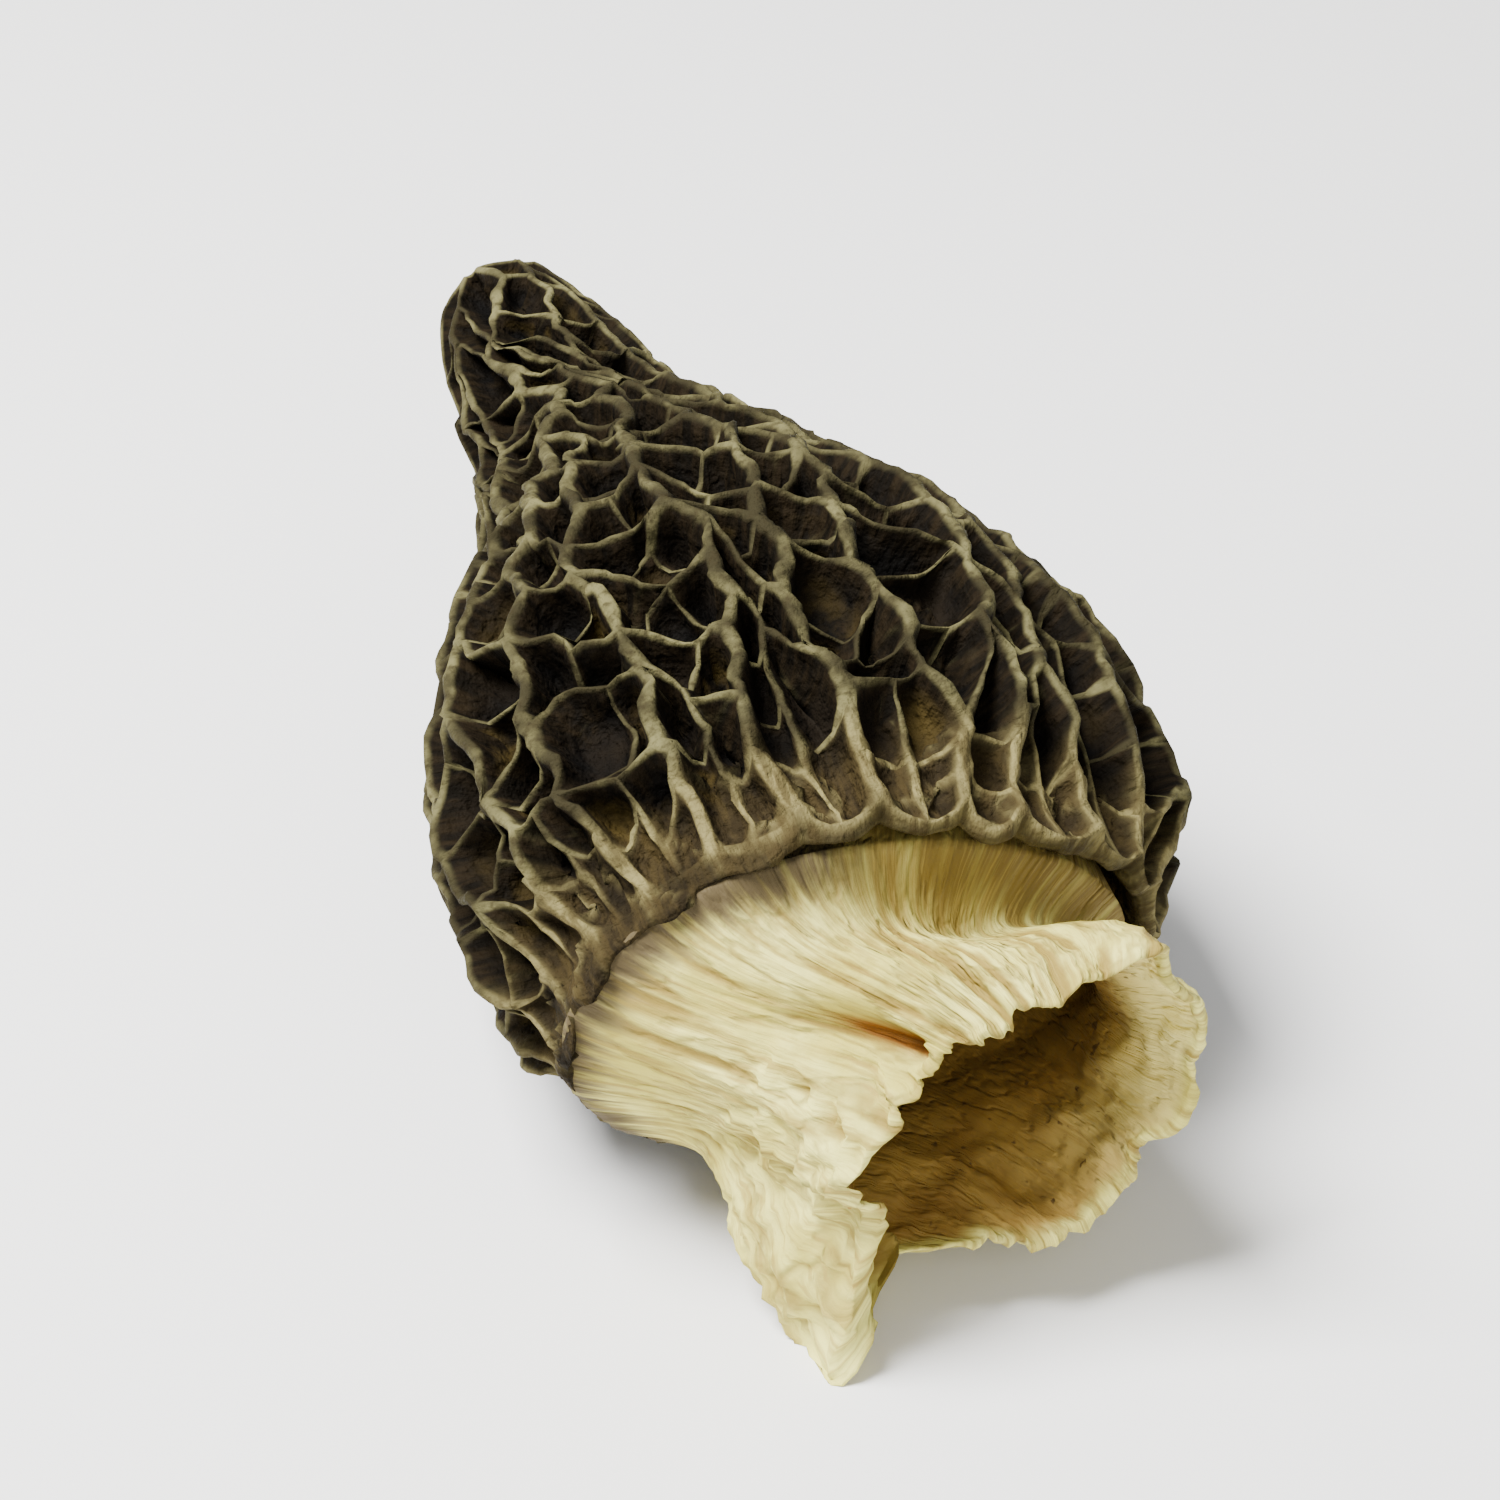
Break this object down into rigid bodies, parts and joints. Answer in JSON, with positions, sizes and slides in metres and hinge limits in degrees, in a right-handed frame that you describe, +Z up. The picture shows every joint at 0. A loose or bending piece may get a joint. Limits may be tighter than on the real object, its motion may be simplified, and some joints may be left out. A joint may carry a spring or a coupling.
{
  "type": "dried morel mushroom",
  "caption": "Dried morel mushroom lying on its side, with a hollow cap of ribs and pits drawn in to a blunt nose, and a torn, open stem.",
  "frame": {"origin": "on the surface that the morel lies on, under the middle of its box", "axes": "+Z up from the surface, +Y from the stem's torn mouth towards the cap's tip"},
  "size_m": [0.037, 0.0684, 0.0284],
  "materials": {
    "cap": "dried mushroom flesh, matt, near-black brown in the pits and grey-beige along the ribs",
    "stem": "dried mushroom flesh, matt cream with fine lengthwise wrinkles, ochre inside"
  },
  "bodies": {
    "root": {"cap": "cap", "stem": "stem"}
  },
  "joints": []
}
